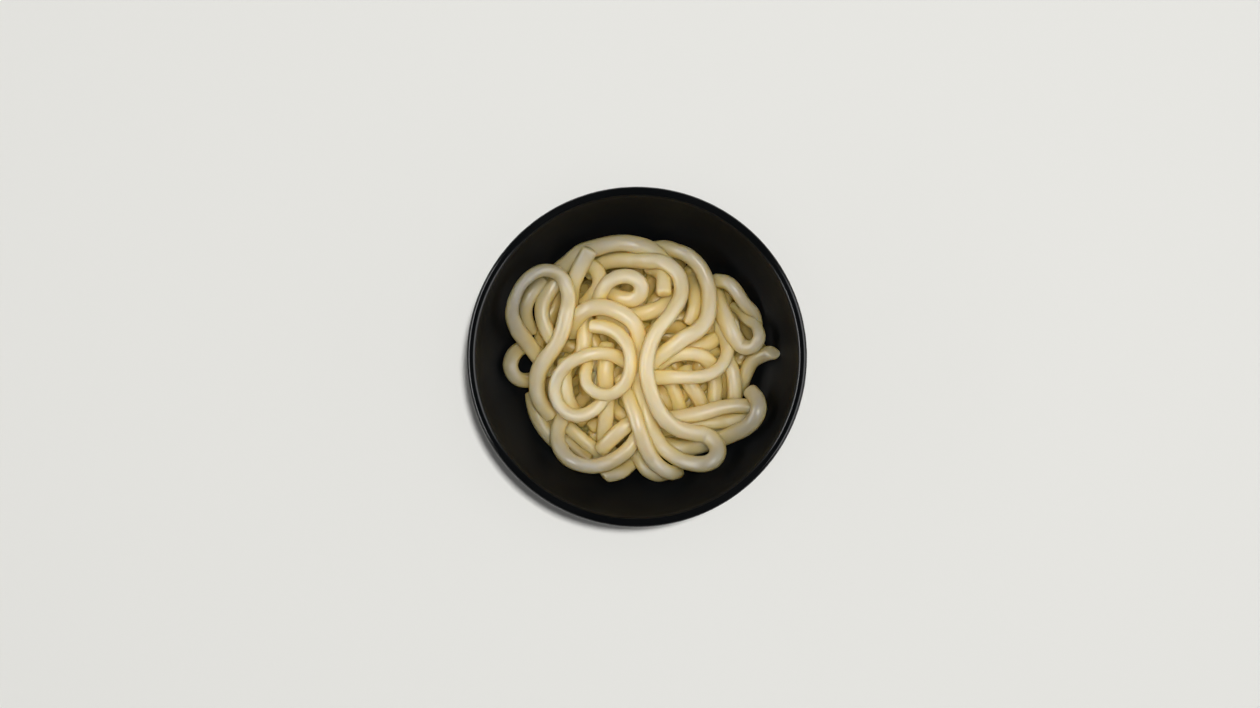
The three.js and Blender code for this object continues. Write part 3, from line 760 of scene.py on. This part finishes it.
# painted shade: the darker copy of the dough, for the strands beneath and the packed mass
shaded = boiled_dough("shaded_dough", *SHADED_DOUGH)
slack = []
while len(slack) < SLACK_STRANDS:
    line = slack_line(SLACK_LAYERS[len(slack) % len(SLACK_LAYERS)])
    if len(line) >= SLACK_FEWEST:
        slack.append(line)
beneath = [laid_route(route) for route in LOW_ROUTES.values()] + slack
give = [0] * len(lines) + [1] * len(beneath)
girths += [np.ones(len(line)) for line in beneath]
beneath = settle(lines + beneath, give, girths, LOW_ROUNDS)[len(lines):]
noodle_piece("udon_beneath", [strand_rings(line, (1.0,), LOW_STEP, LOW_SIDES) for line in beneath], shaded)


def packed_top(r):
    """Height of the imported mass's top at radius r."""
    return CREST_HEIGHT - CREST_DROP * (r / CREST_RADIUS) ** 2 - PACKED_SINK


def packed_profile():
    """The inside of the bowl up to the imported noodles' edge, then back over their low crown."""
    lower = []
    for share in np.linspace(0, 1, PACKED_WALL_RINGS):
        r = inside_ring(share)
        slope = float(inside_slope(r))
        reach = math.hypot(1, slope)
        at = (max(0.0, r - WALL_GAP * slope / reach), float(inside_height(r)) + WALL_GAP / reach)
        if at[1] > packed_top(at[0]):
            break
        lower.append(np.array(at))
    edge = lower[-1][0] * PACKED_TOP_SHARE
    return lower + [np.array((r, packed_top(r))) for r in np.linspace(edge, 0, PACKED_TOP_RINGS)]


packed = turned_piece("packed_noodles", packed_profile(), PACKED_TURNS, shaded)
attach(packed, "root")
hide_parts("noodles")


# ---------------------------------------------------------------------------------------------
# The table that the bowl stands on: a wide, pale top with a matt painted finish, which goes on out
# past what the camera sees.
# ---------------------------------------------------------------------------------------------
TABLE_HALF = 3
TABLE_COLOUR = (0.785, 0.780, 0.745)


def pale_floor():
    """A pale matt surface."""
    material = bpy.data.materials.new("pale_floor")
    material.use_nodes = True
    shader = material.node_tree.nodes["Principled BSDF"]
    shader.inputs["Base Color"].default_value = (*TABLE_COLOUR, 1)
    shader.inputs["Roughness"].default_value = 0.85
    return material


corners = [(x * TABLE_HALF, y * TABLE_HALF, 0) for x, y in ((-1, -1), (1, -1), (1, 1), (-1, 1))]
floor = smooth_piece("floor", corners, [(0, 1, 2, 3)], pale_floor())


# ---------------------------------------------------------------------------------------------
# The lights: soft panels hung round the bowl and aimed at it. Some light it, and the others are
# only seen mirrored, in the glaze or in the wet dough.
# ---------------------------------------------------------------------------------------------
LIGHT_AIM = (0, 0, 0.04)
AROUND_REACH = 1.1
AROUND_HEIGHT = 1.05


def soft_light(name, place, size, watts, mirrored=False):
    """A soft light panel aimed at the bowl: it lights, or it only shows mirrored in glossy things."""
    data = bpy.data.lights.new(name, "AREA")
    data.shape = "RECTANGLE"
    data.size, data.size_y = size
    data.energy = watts
    light = bpy.data.objects.new(name, data)
    light.location = place
    away = np.array(place) - np.array(LIGHT_AIM)
    light.rotation_euler = (0, math.acos(away[2] / np.linalg.norm(away)), math.atan2(away[1], away[0]))
    light.visible_glossy = mirrored
    light.visible_diffuse = not mirrored
    bpy.context.scene.collection.objects.link(light)
    return light


def lit_group(name, pieces):
    """A group of pieces that a light can be kept to."""
    group = bpy.data.collections.new(name)
    for piece in pieces:
        group.objects.link(piece)
    return group


soft_light("ceiling", (0.1, 0.1, 2.4), (2.0, 2.0), 5)
soft_light("right_panel", (1.30, -0.1, 0.75), (1.0, 1.6), 30, mirrored=True)
soft_light("left_panel", (-1.35, 0.05, 0.90), (0.3, 1.6), 34, mirrored=True)

# the lamp that gives the bowl its shadow is screened off the noodles, which are lit softly from
# above and all around, with a gleam of their own
key = soft_light("key", (0.185, 0.205, 2.5), (0.12, 0.12), 54)
key.light_linking.receiver_collection = lit_group("bowl_and_table", [bowl, floor])
noodles = lit_group("noodles", [packed] + [p for p in bpy.data.objects if p.name.startswith("udon_")])
noodle_lights = []
for k, bearing in enumerate(np.radians((45, 135, 225, 315))):
    place = (AROUND_REACH * math.cos(bearing), AROUND_REACH * math.sin(bearing), AROUND_HEIGHT)
    noodle_lights.append(soft_light("around_%d" % k, place, (0.9, 0.9), 2.2))
noodle_lights.append(soft_light("overhead", (0.09, 0.11, 1.6), (0.7, 0.7), 20))
noodle_lights.append(soft_light("gleam", (0.12, 0.14, 1.5), (0.4, 0.4), 18, mirrored=True))
for light in noodle_lights:
    light.light_linking.receiver_collection = noodles

# a little even light from the room
world = bpy.data.worlds.new("room")
bpy.context.scene.world = world
world.use_nodes = True
room = world.node_tree.nodes["Background"]
room.inputs["Color"].default_value = (1.0, 1.0, 1.0, 1)
room.inputs["Strength"].default_value = 0.06


# ---------------------------------------------------------------------------------------------
# The camera, which looks straight down into the bowl from nearly a metre up.
# ---------------------------------------------------------------------------------------------
camera_data = bpy.data.cameras.new("camera")
camera_data.sensor_width = 36
camera_data.lens = 59.2
camera_data.clip_start = 0.01
camera = bpy.data.objects.new("camera", camera_data)
camera.location = (-0.0028, 0.0012, 0.912)
bpy.context.scene.collection.objects.link(camera)
bpy.context.scene.camera = camera
bpy.context.scene.view_settings.view_transform = "Standard"
